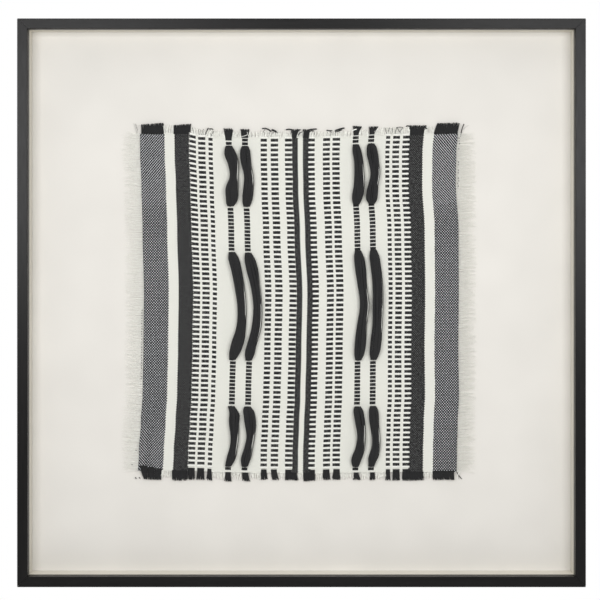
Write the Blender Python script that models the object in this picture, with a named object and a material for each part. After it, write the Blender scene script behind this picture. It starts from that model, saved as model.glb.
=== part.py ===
"""A striped handwoven cloth, raw on its four edges, float-mounted in a square black shadow box.

X is to the right, Z up, and the front faces -Y. The back of the frame lies on the plane y = 0,
and the origin is the centre of the mount board's back face. Sizes are in metres.
"""

import math
import random

import bmesh
import bpy

# Frame: 30 inches square outside, a narrow face and a deep box
FRAME_SIDE = 0.762
FRAME_DEPTH = 0.040
FACE_WIDTH = 0.014
LIP_DEPTH = 0.012
REBATE = 0.006
ARRIS = 0.0006
GAP = 0.0003

# Spacer strips and mount board behind the lip
SPACER_SET_BACK = 0.0007
BOARD_THICK = 0.005

# Cloth: the woven rectangle before its warp was pushed out of line
CLOTH_LEFT = -0.2216
CLOTH_RIGHT = 0.2126
CLOTH_TOP = 0.2290
CLOTH_BOTTOM = -0.2310
CLOTH_THICK = 0.0018
CLOTH_COLUMNS = 28
CLOTH_ROWS = 30
STAND_OFF = 0.0005

# Sideways bow of the warp: how far it has moved to the right at each height,
# at the left black stripe, at the centre stripe and at the right black stripe
BOW_AT_X = (-0.175, -0.007, 0.165)
BOW = (
    # height, left, centre, right
    (-0.244, -0.0014, 0.0000, -0.0010),
    (-0.205, 0.0002, 0.0002, -0.0006),
    (-0.165, 0.0026, 0.0016, 0.0004),
    (-0.125, 0.0048, 0.0033, 0.0021),
    (-0.065, 0.0060, 0.0048, 0.0016),
    (0.015, 0.0069, 0.0062, 0.0024),
    (0.098, 0.0048, 0.0030, 0.0016),
    (0.160, 0.0030, 0.0006, -0.0017),
    (0.200, 0.0014, -0.0001, -0.0014),
    (0.242, 0.0010, 0.0000, 0.0012),
)

# Droop of the weft: how far each thread hangs below its own ends, across the cloth,
# near the top edge, at half height and near the bottom edge
DROOP_AT_Z = (-0.221, 0.010, 0.225)
DROOP = (
    # x, bottom, half height, top
    (-0.222, -0.0005, 0.0000, 0.0000),
    (-0.155, -0.0004, 0.0005, 0.0001),
    (-0.137, 0.0002, 0.0012, 0.0034),
    (-0.120, 0.0013, 0.0025, 0.0048),
    (-0.050, 0.0026, 0.0046, 0.0058),
    (0.010, 0.0034, 0.0054, 0.0055),
    (0.050, 0.0023, 0.0041, 0.0045),
    (0.120, 0.0018, 0.0015, 0.0018),
    (0.213, 0.0010, 0.0006, -0.0004),
)

# Swells where the cloth lifts off the board
SWELLS = (
    # x, z, reach in x, reach in z, rise
    (-0.2216, 0.060, 0.022, 0.170, 0.0042),
    (-0.2216, -0.190, 0.026, 0.060, 0.0030),
    (0.2126, -0.040, 0.024, 0.190, 0.0046),
    (0.2126, 0.210, 0.020, 0.050, 0.0022),
    (-0.030, 0.229, 0.140, 0.022, 0.0020),
    (-0.120, -0.231, 0.090, 0.018, 0.0016),
    (0.110, -0.231, 0.080, 0.020, 0.0014),
    (-0.088, 0.000, 0.026, 0.060, 0.0012),
    (0.085, 0.010, 0.026, 0.070, 0.0012),
    (0.160, 0.120, 0.030, 0.090, 0.0010),
    (-0.160, -0.090, 0.028, 0.100, 0.0010),
)

# Frayed edges: a strip of the outermost threads, with the loose ends rooted in it
STRIP_WIDTH = 0.0022
END_THICK = 0.0010
FRAYS = (
    # name, strands, shortest, longest, root width as a share of the pitch
    ("fringe_top", 52, 0.0085, 0.0125, 0.62),
    ("fringe_bottom", 52, 0.0080, 0.0105, 0.62),
    ("fringe_left", 36, 0.0080, 0.0130, 0.30),
    ("fringe_right", 36, 0.0080, 0.0130, 0.30),
)
END_TAPER = 0.45
END_LEAN = 0.0018
END_CURL = 0.0022

# Bundles of loose black warp, in four columns of three
COLUMN_X = {"a": -0.0998, "b": -0.0775, "c": 0.0738, "d": 0.0951}
BUNDLE_END_WIDTH = 0.0066
BUNDLE_FLATNESS = 0.74
BUNDLE_SIDES = 8
BUNDLE_SECTIONS = 13
BUNDLE_CLEAR = 0.0006
BUNDLE_STATIONS = (0.0, 0.15, 0.50, 0.85, 1.0)
BUNDLES = (
    # column, place, top, bottom, offset from the column and width at the upper, middle and lower station
    ("a", "top", 0.2170, 0.1340, 0.0024, 0.0160, 0.0036, 0.0148, -0.0002, 0.0158),
    ("b", "top", 0.2170, 0.1340, 0.0002, 0.0148, 0.0020, 0.0146, 0.0008, 0.0138),
    ("c", "top", 0.2177, 0.1359, 0.0020, 0.0140, 0.0040, 0.0144, 0.0018, 0.0138),
    ("d", "top", 0.2177, 0.1359, 0.0010, 0.0146, 0.0036, 0.0146, 0.0012, 0.0146),
    ("a", "middle", 0.0710, -0.0759, 0.0024, 0.0156, 0.0094, 0.0142, 0.0046, 0.0170),
    ("b", "middle", 0.0710, -0.0759, 0.0010, 0.0158, 0.0086, 0.0140, 0.0024, 0.0156),
    ("c", "middle", 0.0730, -0.0762, 0.0016, 0.0146, 0.0058, 0.0130, 0.0026, 0.0150),
    ("d", "middle", 0.0730, -0.0762, 0.0016, 0.0146, 0.0042, 0.0144, 0.0026, 0.0154),
    ("a", "bottom", -0.1403, -0.2225, 0.0022, 0.0132, 0.0048, 0.0128, 0.0028, 0.0134),
    ("b", "bottom", -0.1403, -0.2225, 0.0012, 0.0144, 0.0040, 0.0140, 0.0002, 0.0140),
    ("c", "bottom", -0.1403, -0.2225, 0.0012, 0.0132, 0.0048, 0.0134, 0.0018, 0.0148),
    ("d", "bottom", -0.1403, -0.2225, -0.0004, 0.0132, 0.0032, 0.0138, 0.0018, 0.0144),
)

COLOURS = {
    # name: red, green, blue, roughness
    "black_stained_wood": (0.035, 0.034, 0.035, 0.45),
    "cream_board": (0.80, 0.78, 0.73, 0.90),
    "striped_cloth": (0.36, 0.36, 0.35, 0.95),
    "white_yarn": (0.82, 0.81, 0.78, 0.95),
    "black_yarn": (0.022, 0.022, 0.024, 0.90),
}


def clear_scene():
    for old in list(bpy.data.objects):
        bpy.data.objects.remove(old)


def make_materials():
    """One plain finish for each stuff the thing is made of."""
    made = {}
    for name, (red, green, blue, roughness) in COLOURS.items():
        material = bpy.data.materials.new(name)
        material.use_nodes = True
        shader = material.node_tree.nodes["Principled BSDF"]
        shader.inputs["Base Color"].default_value = (red, green, blue, 1.0)
        shader.inputs["Roughness"].default_value = roughness
        shader.inputs["Metallic"].default_value = 0.0
        made[name] = material
    return made


def add_node(name, points, faces, material):
    """A named object from points and faces, with its faces turned outward."""
    mesh = bpy.data.meshes.new(name)
    mesh.from_pydata(points, [], faces)
    work = bmesh.new()
    work.from_mesh(mesh)
    bmesh.ops.recalc_face_normals(work, faces=work.faces)
    work.to_mesh(mesh)
    work.free()
    mesh.materials.append(material)
    node = bpy.data.objects.new(name, mesh)
    bpy.context.scene.collection.objects.link(node)
    return node


def smoothly(share):
    """Eases a share of the way from 0 to 1."""
    return share * share * (3.0 - 2.0 * share)


def along_table(places, values, at):
    """Reads a curve through values at rising places, eased from each one to the next."""
    if at <= places[0]:
        return values[0]
    for place, following, value, after in zip(places, places[1:], values, values[1:]):
        if at <= following:
            return value + (after - value) * smoothly((at - place) / (following - place))
    return values[-1]


def straight_between(places, values, at):
    """Reads a line through values at rising places, carried on past both ends."""
    index = 0 if at < places[1] else 1
    share = (at - places[index]) / (places[index + 1] - places[index])
    return values[index] + (values[index + 1] - values[index]) * min(max(share, -0.3), 1.3)


def bow(x, z):
    heights = [row[0] for row in BOW]
    shifts = [along_table(heights, [row[column] for row in BOW], z) for column in (1, 2, 3)]
    return straight_between(BOW_AT_X, shifts, x)


def sag(x, z):
    places = [row[0] for row in DROOP]
    droops = [along_table(places, [row[column] for row in DROOP], x) for column in (1, 2, 3)]
    return -straight_between(DROOP_AT_Z, droops, z)


def rise(x, z):
    """How far the back of the cloth stands off the board here."""
    total = STAND_OFF
    for centre_x, centre_z, reach_x, reach_z, height in SWELLS:
        distance = ((x - centre_x) / reach_x) ** 2 + ((z - centre_z) / reach_z) ** 2
        total += height * math.exp(-distance)
    return total


def hung(x, z):
    """Where the point of the cloth's back that lay at (x, z) on the loom is, once hung."""
    return (x + bow(x, z), -(BOARD_THICK + rise(x, z)), z + sag(x, z))


def cell_of(at, start, step, count):
    """The cell of an even grid that a place falls in, and its share of the way across it."""
    cell = min(max(math.floor((at - start) / step), 0), count - 1)
    return cell, (at - start) / step - cell


def on_cloth(x, z, forward=0.0):
    """The same point read on the cloth's own facets, so that its neighbours follow them, moved forward."""
    step_x = (CLOTH_RIGHT - CLOTH_LEFT) / CLOTH_COLUMNS
    step_z = (CLOTH_TOP - CLOTH_BOTTOM) / CLOTH_ROWS
    column, across = cell_of(x, CLOTH_LEFT, step_x, CLOTH_COLUMNS)
    row, up = cell_of(z, CLOTH_BOTTOM, step_z, CLOTH_ROWS)
    blend = [0.0, 0.0, 0.0]
    for add_column, share_x in ((0, 1.0 - across), (1, across)):
        for add_row, share_z in ((0, 1.0 - up), (1, up)):
            corner = hung(
                CLOTH_LEFT + step_x * (column + add_column),
                CLOTH_BOTTOM + step_z * (row + add_row),
            )
            blend = [sum_so_far + share_x * share_z * value for sum_so_far, value in zip(blend, corner)]
    return (blend[0], blend[1] - forward, blend[2])


def make_rail(name, quarter_turns, material):
    """One rebated, mitred rail. The top rail is turned round the centre by quarter turns."""
    outside = FRAME_SIDE / 2
    inside = outside - FACE_WIDTH
    in_rebate = inside + REBATE
    section = (
        (outside, 0.0),
        (outside, -(FRAME_DEPTH - ARRIS)),
        (outside - ARRIS, -FRAME_DEPTH),
        (inside + ARRIS, -FRAME_DEPTH),
        (inside, -(FRAME_DEPTH - ARRIS)),
        (inside, -(FRAME_DEPTH - LIP_DEPTH)),
        (in_rebate, -(FRAME_DEPTH - LIP_DEPTH)),
        (in_rebate, 0.0),
    )
    set_back = GAP / math.sqrt(2.0)
    cosine = round(math.cos(quarter_turns * math.pi / 2))
    sine = round(math.sin(quarter_turns * math.pi / 2))
    points = []
    for side in (-1, 1):
        for radius, depth in section:
            x, z = side * (radius - set_back), radius
            points.append((cosine * x - sine * z, depth, sine * x + cosine * z))
    count = len(section)
    faces = [(i, (i + 1) % count, count + (i + 1) % count, count + i) for i in range(count)]
    faces += [tuple(range(count)), tuple(range(count, 2 * count))]
    return add_node(name, points, faces, material)


def make_block(name, low, high, material):
    """A plain sawn strip or board between two corners."""
    points = [(x, y, z) for x in (low[0], high[0]) for y in (low[1], high[1]) for z in (low[2], high[2])]
    faces = [(0, 1, 3, 2), (4, 6, 7, 5), (0, 4, 5, 1), (2, 3, 7, 6), (0, 2, 6, 4), (1, 5, 7, 3)]
    return add_node(name, points, faces, material)


def make_frame(materials):
    for turns, side in enumerate(("top", "left", "bottom", "right")):
        make_rail("rail_" + side, turns, materials["black_stained_wood"])


def make_spacers(materials):
    """Four strips that fill the rebate between the lip and the board, butted at the corners."""
    outer = FRAME_SIDE / 2 - FACE_WIDTH + REBATE - GAP
    inner = FRAME_SIDE / 2 - FACE_WIDTH + SPACER_SET_BACK
    front = -(FRAME_DEPTH - LIP_DEPTH - GAP)
    back = -(BOARD_THICK + GAP)
    side_end = inner - GAP
    material = materials["cream_board"]
    make_block("spacer_top", (-outer, front, inner), (outer, back, outer), material)
    make_block("spacer_bottom", (-outer, front, -outer), (outer, back, -inner), material)
    make_block("spacer_left", (-outer, front, -side_end), (-inner, back, side_end), material)
    make_block("spacer_right", (inner, front, -side_end), (outer, back, side_end), material)


def make_board(materials):
    half = FRAME_SIDE / 2 - FACE_WIDTH + REBATE - GAP
    make_block("mount_board", (-half, -BOARD_THICK, -half), (half, 0.0, half), materials["cream_board"])


def make_cloth(materials):
    """One woven sheet with a front and a back, closed round its raw edges."""
    width = CLOTH_RIGHT - CLOTH_LEFT
    height = CLOTH_TOP - CLOTH_BOTTOM
    points = []
    for forward in (0.0, CLOTH_THICK):
        for row in range(CLOTH_ROWS + 1):
            z = CLOTH_BOTTOM + height * row / CLOTH_ROWS
            for column in range(CLOTH_COLUMNS + 1):
                x, back, height_hung = hung(CLOTH_LEFT + width * column / CLOTH_COLUMNS, z)
                points.append((x, back - forward, height_hung))
    per_row = CLOTH_COLUMNS + 1
    layer = per_row * (CLOTH_ROWS + 1)
    faces = []
    for row in range(CLOTH_ROWS):
        for column in range(CLOTH_COLUMNS):
            corner = row * per_row + column
            back = (corner, corner + 1, corner + per_row + 1, corner + per_row)
            faces.append(back)
            faces.append(tuple(layer + index for index in back))
    rim = list(range(per_row))
    rim += [row * per_row + CLOTH_COLUMNS for row in range(1, CLOTH_ROWS + 1)]
    rim += [CLOTH_ROWS * per_row + column for column in reversed(range(CLOTH_COLUMNS))]
    rim += [row * per_row for row in reversed(range(1, CLOTH_ROWS))]
    for start, end in zip(rim, rim[1:] + rim[:1]):
        faces.append((start, end, layer + end, layer + start))
    return add_node("cloth", points, faces, materials["striped_cloth"])


def fray_frame(name):
    """Where a frayed edge runs: its start, end and edge, and whether it is upright, and which way it points."""
    if name == "fringe_top":
        return CLOTH_LEFT, CLOTH_RIGHT, CLOTH_TOP, False, 1
    if name == "fringe_bottom":
        return CLOTH_LEFT, CLOTH_RIGHT, CLOTH_BOTTOM, False, -1
    if name == "fringe_left":
        return CLOTH_BOTTOM, CLOTH_TOP, CLOTH_LEFT, True, -1
    return CLOTH_BOTTOM, CLOTH_TOP, CLOTH_RIGHT, True, 1


def make_fray(name, count, shortest, longest, root_share, material, chance):
    """A strip of edge threads with a row of loose four-sided ends fused to it."""
    start, end, edge, upright, outward = fray_frame(name)
    pitch = (end - start) / count

    def ring_pair(along, out, curl):
        """The back and front points of the fray at a place along the edge and out from it."""
        if upright:
            x, z = edge + outward * out, along
        else:
            x, z = along, edge + outward * out
        return [on_cloth(x, z, curl), on_cloth(x, z, curl + END_THICK)]

    strip_in, strip_out = GAP, GAP + STRIP_WIDTH
    points = []
    faces = []
    bounds = [start]
    for index in range(count):
        root = start + pitch * (index + 0.5 + chance.uniform(-0.08, 0.08))
        bounds += [root - pitch * root_share / 2, root + pitch * root_share / 2]
    bounds.append(end)
    for along in bounds:
        points += ring_pair(along, strip_in, 0.0) + ring_pair(along, strip_out, 0.0)
    for cell in range(len(bounds) - 1):
        here, there = 4 * cell, 4 * (cell + 1)
        faces.append((here, there, there + 2, here + 2))
        faces.append((here + 1, here + 3, there + 3, there + 1))
        faces.append((here, here + 1, there + 1, there))
        if cell % 2 == 0:
            faces.append((here + 2, there + 2, there + 3, here + 3))
            continue
        length = chance.uniform(shortest, longest)
        lean = chance.uniform(-END_LEAN, END_LEAN)
        curl = chance.uniform(0.0, END_CURL)
        ring = [here + 2, here + 3, there + 3, there + 2]
        middle = (bounds[cell] + bounds[cell + 1]) / 2
        half = (bounds[cell + 1] - bounds[cell]) / 2
        for share in (0.5, 1.0):
            narrow = half * (1.0 - (1.0 - END_TAPER) * share)
            centre = middle + lean * share * share
            out = strip_out + length * share
            first = len(points)
            points += ring_pair(centre - narrow, out, curl * share * share)
            points += ring_pair(centre + narrow, out, curl * share * share)
            following = [first, first + 1, first + 3, first + 2]
            for side in range(4):
                after = (side + 1) % 4
                faces.append((ring[side], ring[after], following[after], following[side]))
            ring = following
        faces.append(tuple(ring))
    last = 4 * (len(bounds) - 1)
    faces.append((0, 2, 3, 1))
    faces.append((last, last + 1, last + 3, last + 2))
    return add_node(name, points, faces, material)


def make_bundle(column, place, top, bottom, stations, material):
    """Loose warp between two bindings: a fat, slightly flattened roll that bows to the side."""
    offsets = [0.0, stations[0], stations[2], stations[4], 0.0]
    widths = [BUNDLE_END_WIDTH, stations[1], stations[3], stations[5], BUNDLE_END_WIDTH]
    points = []
    for section in range(BUNDLE_SECTIONS):
        share = 0.5 - 0.5 * math.cos(math.pi * section / (BUNDLE_SECTIONS - 1))
        z = top + (bottom - top) * share
        loom_x = COLUMN_X[column] + along_table(BUNDLE_STATIONS, offsets, share)
        half_width = along_table(BUNDLE_STATIONS, widths, share) / 2
        half_depth = half_width * BUNDLE_FLATNESS
        x, back, height = on_cloth(loom_x, z, CLOTH_THICK + BUNDLE_CLEAR)
        for side in range(BUNDLE_SIDES):
            angle = 2.0 * math.pi * (side + 0.5) / BUNDLE_SIDES
            across = half_width * math.sin(angle)
            out = half_depth * (1.0 - math.cos(angle))
            points.append((x + across, back - out, height))
    faces = []
    for section in range(BUNDLE_SECTIONS - 1):
        for side in range(BUNDLE_SIDES):
            here = section * BUNDLE_SIDES
            after = (side + 1) % BUNDLE_SIDES
            below = here + BUNDLE_SIDES
            faces.append((here + side, here + after, below + after, below + side))
    faces.append(tuple(range(BUNDLE_SIDES)))
    faces.append(tuple(range((BUNDLE_SECTIONS - 1) * BUNDLE_SIDES, BUNDLE_SECTIONS * BUNDLE_SIDES)))
    node = add_node("bundle_" + column + "_" + place, points, faces, material)
    node.data.shade_smooth()
    return node


def make_frays(materials):
    chance = random.Random(30)
    for name, count, shortest, longest, root_share in FRAYS:
        colour = "white_yarn" if root_share < 0.5 else "black_yarn"
        make_fray(name, count, shortest, longest, root_share, materials[colour], chance)


def make_bundles(materials):
    for column, place, top, bottom, *stations in BUNDLES:
        make_bundle(column, place, top, bottom, stations, materials["black_yarn"])


clear_scene()
finishes = make_materials()
make_frame(finishes)
make_spacers(finishes)
make_board(finishes)
make_cloth(finishes)
make_frays(finishes)
make_bundles(finishes)
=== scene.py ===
"""The looks of a striped handwoven cloth, raw on its four edges, float-mounted in a square black shadow box.

Metres, +Z up, and the front faces -Y. A loom place is the x and z that a point of the cloth had while it was
still flat on the loom, and hung() says where that point is now that the cloth is up on its board.
"""

import math
import random

import bpy
import numpy as np
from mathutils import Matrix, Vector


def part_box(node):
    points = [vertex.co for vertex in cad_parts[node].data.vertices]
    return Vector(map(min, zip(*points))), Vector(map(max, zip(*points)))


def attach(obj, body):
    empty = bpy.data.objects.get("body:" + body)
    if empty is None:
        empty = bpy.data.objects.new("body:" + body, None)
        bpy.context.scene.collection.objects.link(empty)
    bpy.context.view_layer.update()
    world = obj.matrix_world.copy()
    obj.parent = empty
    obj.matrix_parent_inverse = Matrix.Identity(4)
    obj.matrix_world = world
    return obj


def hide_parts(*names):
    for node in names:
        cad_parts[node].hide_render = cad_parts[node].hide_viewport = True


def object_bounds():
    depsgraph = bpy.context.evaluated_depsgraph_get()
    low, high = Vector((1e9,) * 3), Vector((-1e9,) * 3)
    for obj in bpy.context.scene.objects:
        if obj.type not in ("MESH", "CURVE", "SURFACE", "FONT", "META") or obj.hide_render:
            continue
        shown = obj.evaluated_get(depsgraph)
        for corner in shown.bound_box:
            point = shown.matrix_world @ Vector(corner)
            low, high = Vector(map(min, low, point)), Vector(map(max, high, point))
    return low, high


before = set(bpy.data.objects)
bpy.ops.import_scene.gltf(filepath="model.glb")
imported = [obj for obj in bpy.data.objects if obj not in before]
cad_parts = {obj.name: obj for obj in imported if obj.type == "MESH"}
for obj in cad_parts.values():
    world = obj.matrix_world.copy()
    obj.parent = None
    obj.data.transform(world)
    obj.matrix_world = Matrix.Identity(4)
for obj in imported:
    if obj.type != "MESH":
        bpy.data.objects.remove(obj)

cad_low, cad_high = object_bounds()


# Frame rails. Four lengths of close-grained hardwood, rebated and mitred, dyed black and sprayed with a satin
# lacquer. Their solids are the frame's own. The finish is near black, greyer where light glances off it, with
# pores that run the length of each rail.

PORE_WIDTH = 0.0008
PORE_LENGTH = 0.026
PORE_DEPTH = 0.00005
STAIN_DARK, STAIN_LIGHT = "0e0e0e", "191818"


def linear(code):
    """An sRGB hex colour as the linear colour that Blender's sockets take."""
    shares = [int(code[place:place + 2], 16) / 255 for place in (0, 2, 4)]
    return [s / 12.92 if s <= 0.04045 else ((s + 0.055) / 1.055) ** 2.4 for s in shares] + [1.0]


def add(tree, kind, *feeds, sockets=None, stops=(), **settings):
    """Adds a node of a kind, which may be followed by its operation, and a kind that doesn't say Node is a
    shader node. Feeds go to its inputs in order, and sockets to the inputs they name: each is a value, an
    output, or a node whose first output is meant. Stops are a colour ramp's."""
    kind, _, operation = kind.partition(" ")
    node = tree.nodes.new(kind if "Node" in kind else "ShaderNode" + kind)
    if operation:
        node.operation = operation
    for name, value in settings.items():
        setattr(node, name, value)
    for place, feed in list(enumerate(feeds)) + list((sockets or {}).items()):
        if isinstance(feed, bpy.types.Node):
            feed = feed.outputs[0]
        if isinstance(feed, bpy.types.NodeSocket):
            tree.links.new(feed, node.inputs[place])
        elif feed is not None:
            node.inputs[place].default_value = feed
    for index, (place, code) in enumerate(stops):
        elements = node.color_ramp.elements
        if index == 0:
            elements.remove(elements[1])
        stop = elements.new(place) if index else elements[0]
        stop.position = place
        stop.color = linear(code)
    return node


def start_finish(name, **constants):
    """A new material with its tree and its one shader, whose constant sockets are set here."""
    material = bpy.data.materials.new(name)
    material.use_nodes = True
    shader = material.node_tree.nodes["Principled BSDF"]
    for socket, value in constants.items():
        shader.inputs[socket.replace("_", " ")].default_value = value
    return material, material.node_tree, shader


def stained_wood(name, along):
    """Black-dyed hardwood under satin lacquer, with its grain along one axis."""
    material, tree, shader = start_finish(name, IOR=1.5, Specular_IOR_Level=0.21)
    stretch = [1 / PORE_WIDTH] * 3
    stretch[along] = 1 / PORE_LENGTH
    place = add(tree, "TexCoord").outputs["Object"]
    laid = add(tree, "Mapping", place, sockets={"Scale": stretch})
    pores = add(tree, "TexNoise", sockets={"Vector": laid, "Scale": 1.0, "Detail": 5.0})
    wide = add(tree, "Mapping", laid, sockets={"Scale": (0.12, 0.12, 0.12)})
    bands = add(tree, "TexNoise", sockets={"Vector": wide, "Scale": 1.0, "Detail": 2.0})
    both = add(tree, "Math ADD", pores, bands)
    shade = add(tree, "Math MULTIPLY", both, 0.5)
    colour = add(tree, "ValToRGB", shade, stops=((0.32, STAIN_DARK), (0.68, STAIN_LIGHT)))
    gloss = add(tree, "MapRange", pores, 0.3, 0.7, 0.30, 0.42)
    relief = add(tree, "Bump", sockets={"Height": pores, "Distance": PORE_DEPTH, "Strength": 0.6})
    tree.links.new(colour.outputs["Color"], shader.inputs["Base Color"])
    tree.links.new(gloss.outputs[0], shader.inputs["Roughness"])
    tree.links.new(relief.outputs[0], shader.inputs["Normal"])
    return material


def wear(node, material):
    """Gives one of the frame's own solids its finish."""
    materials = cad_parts[node].data.materials
    materials.clear()
    materials.append(material)


level_wood = stained_wood("black stained hardwood, level grain", 0)
upright_wood = stained_wood("black stained hardwood, upright grain", 2)
for side in ("top", "bottom"):
    wear("rail_" + side, level_wood)
for side in ("left", "right"):
    wear("rail_" + side, upright_wood)


# Mount board and spacers. A board of cotton rag closes the back, and four strips of the same stuff fill the
# rebate between it and the lip. The paper is matt and warm white, with a tooth of a third of a millimetre.

RAG_DARK, RAG_LIGHT = "dddad4", "e3e0da"
# The strips' colours are a darker, slightly warmer copy of the board's: painted shade on the strips in the
# rebate.
SHADED_WRAP_DARK, SHADED_WRAP_LIGHT = "d6d2c7", "dcd8cd"
TOOTH = 0.00035
TOOTH_DEPTH = 0.00002
CLOUD = 0.080


def rag_paper(name, dark, light):
    """Cotton rag board: warm white and quite matt, a little uneven over a hand's breadth."""
    material, tree, shader = start_finish(name, IOR=1.45, Roughness=0.94, Specular_IOR_Level=0.25)
    place = add(tree, "TexCoord").outputs["Object"]
    tooth = add(tree, "TexNoise", sockets={"Vector": place, "Scale": 1 / TOOTH, "Detail": 2.0})
    cloud = add(tree, "TexNoise", sockets={"Vector": place, "Scale": 1 / CLOUD, "Detail": 1.0})
    mix = add(tree, "Mix", 0.3, sockets={2: cloud, 3: tooth}, data_type="FLOAT")
    colour = add(tree, "ValToRGB", mix, stops=((0.3, dark), (0.7, light)))
    relief = add(tree, "Bump", sockets={"Height": tooth, "Distance": TOOTH_DEPTH})
    tree.links.new(colour.outputs["Color"], shader.inputs["Base Color"])
    tree.links.new(relief.outputs[0], shader.inputs["Normal"])
    return material


wear("mount_board", rag_paper("cotton rag board", RAG_DARK, RAG_LIGHT))
# Painted shade: the strips take the darker copy of the board's paper.
shaded_rag_wrap = rag_paper("cotton rag paper wrapped on strips", SHADED_WRAP_DARK, SHADED_WRAP_LIGHT)
for side in ("top", "bottom", "left", "right"):
    wear("spacer_" + side, shaded_rag_wrap)
board_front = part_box("mount_board")[0].y


# The woven cloth. One sheet of coarse cotton in plain weave, four picks to a row of dashes: white warp and
# weft, with black warp for the wide stripes and, crossed by the white weft, for the grey bands at its sides.
# It hangs slack against the board, so its warp bows and its weft droops. Its threads are drawn coarser than
# such cotton is spun, as coarse as they need to be to show from the front.

CLOTH_LEFT, CLOTH_RIGHT = -0.2216, 0.2126
CLOTH_BOTTOM, CLOTH_TOP = -0.2310, 0.2290
CLOTH_THICK = 0.0018
STAND_OFF = 0.0005
WARP_PITCH = 0.0015
ROW_PITCH = 0.006657
PICK_PITCH = ROW_PITCH / 4
FACET = 0.0025

COLUMN_X = {"a": -0.0998, "b": -0.0775, "c": 0.0738, "d": 0.0951}

BOW_AT_X = (-0.175, -0.007, 0.165)
BOW = (
    # height, and how far the warp has moved right there: at the left stripe, the centre, the right stripe
    (-0.244, -0.0014, 0.0000, -0.0010),
    (-0.205, 0.0002, 0.0002, -0.0006),
    (-0.165, 0.0026, 0.0016, 0.0004),
    (-0.125, 0.0048, 0.0033, 0.0021),
    (-0.065, 0.0060, 0.0048, 0.0016),
    (0.015, 0.0069, 0.0062, 0.0024),
    (0.098, 0.0048, 0.0030, 0.0016),
    (0.160, 0.0030, 0.0006, -0.0017),
    (0.200, 0.0014, -0.0001, -0.0014),
    (0.242, 0.0010, 0.0000, 0.0012),
)
DROOP_AT_Z = (-0.221, 0.010, 0.225)
DROOP = (
    # x, and how far the weft hangs there: near the bottom edge, at half height, near the top edge
    (-0.222, -0.0005, 0.0000, 0.0000),
    (-0.155, -0.0004, 0.0005, 0.0001),
    (-0.137, 0.0002, 0.0012, 0.0034),
    (-0.120, 0.0013, 0.0025, 0.0048),
    (-0.050, 0.0026, 0.0046, 0.0058),
    (0.010, 0.0034, 0.0054, 0.0055),
    (0.050, 0.0023, 0.0041, 0.0045),
    (0.120, 0.0018, 0.0015, 0.0018),
    (0.213, 0.0010, 0.0006, -0.0004),
)
SWELLS = (
    # x, z, reach in x, reach in z, rise off the board
    (-0.2216, 0.060, 0.022, 0.170, 0.0042),
    (-0.2216, -0.190, 0.026, 0.060, 0.0030),
    (0.2126, -0.040, 0.024, 0.190, 0.0046),
    (0.2126, 0.210, 0.020, 0.050, 0.0022),
    (-0.030, 0.229, 0.140, 0.022, 0.0020),
    (-0.120, -0.231, 0.090, 0.018, 0.0016),
    (0.110, -0.231, 0.080, 0.020, 0.0014),
    (-0.088, 0.000, 0.026, 0.060, 0.0012),
    (0.085, 0.010, 0.026, 0.070, 0.0012),
    (0.160, 0.120, 0.030, 0.090, 0.0010),
    (-0.160, -0.090, 0.028, 0.100, 0.0010),
)


def eased(places, values, at):
    """Reads a curve through values at rising places, eased from each one to the next."""
    places, values = np.asarray(places), np.asarray(values)
    at = np.clip(at, places[0], places[-1])
    index = np.clip(np.searchsorted(places, at, side="right") - 1, 0, len(places) - 2)
    share = (at - places[index]) / (places[index + 1] - places[index])
    share = share * share * (3.0 - 2.0 * share)
    return values[index] + (values[index + 1] - values[index]) * share


def straight_between(places, values, at):
    """Reads a line through values at three rising places, carried on a little past both ends."""
    index = np.where(at < places[1], 0, 1)
    places, values = np.asarray(places), np.stack(values)
    share = (at - places[index]) / (places[index + 1] - places[index])
    columns = np.arange(len(at))
    low, high = values[index, columns], values[index + 1, columns]
    return low + (high - low) * np.clip(share, -0.3, 1.3)


def hung(x, z, forward=0.0):
    """Where loom places are once hung: points on the cloth's back, moved forward off it."""
    x, z = (np.asarray(line, float).ravel() for line in np.broadcast_arrays(x, z))
    heights, *shifts = zip(*BOW)
    bow = straight_between(BOW_AT_X, [eased(heights, shift, z) for shift in shifts], x)
    widths, *droops = zip(*DROOP)
    droop = straight_between(DROOP_AT_Z, [eased(widths, value, x) for value in droops], z)
    rise = np.full(x.shape, STAND_OFF)
    for centre_x, centre_z, reach_x, reach_z, height in SWELLS:
        rise += height * np.exp(-((x - centre_x) / reach_x) ** 2 - ((z - centre_z) / reach_z) ** 2)
    return np.stack([x + bow, board_front - rise - forward, z - droop], axis=1)


PUCKER_DEPTH = 0.0004
PUCKER_REACH = 0.016
PUCKERS = [(x, z) for x in COLUMN_X.values() for z in (0.217, 0.135, 0.071, -0.077, -0.140, -0.2225)]
PLEATS = 9


def pucker(x, z):
    """How far the front is drawn back by the small pleats that run out from each end of a bundle."""
    total = np.zeros(x.shape)
    for number, (centre_x, centre_z) in enumerate(PUCKERS):
        across, up = x - centre_x, z - centre_z
        reach = np.hypot(across, up) / PUCKER_REACH
        pleats = 0.5 + 0.5 * np.cos(PLEATS * np.arctan2(up, across) + 2.4 * number)
        total += PUCKER_DEPTH * pleats * np.exp(-reach * reach) * (1 - np.exp(-9 * reach * reach))
    return np.minimum(total, 1.5 * PUCKER_DEPTH)


def make_piece(name, mesh):
    """Hangs a finished mesh in the scene as a piece of the one body."""
    piece = bpy.data.objects.new(name, mesh)
    bpy.context.scene.collection.objects.link(piece)
    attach(piece, "root")
    return piece


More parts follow.
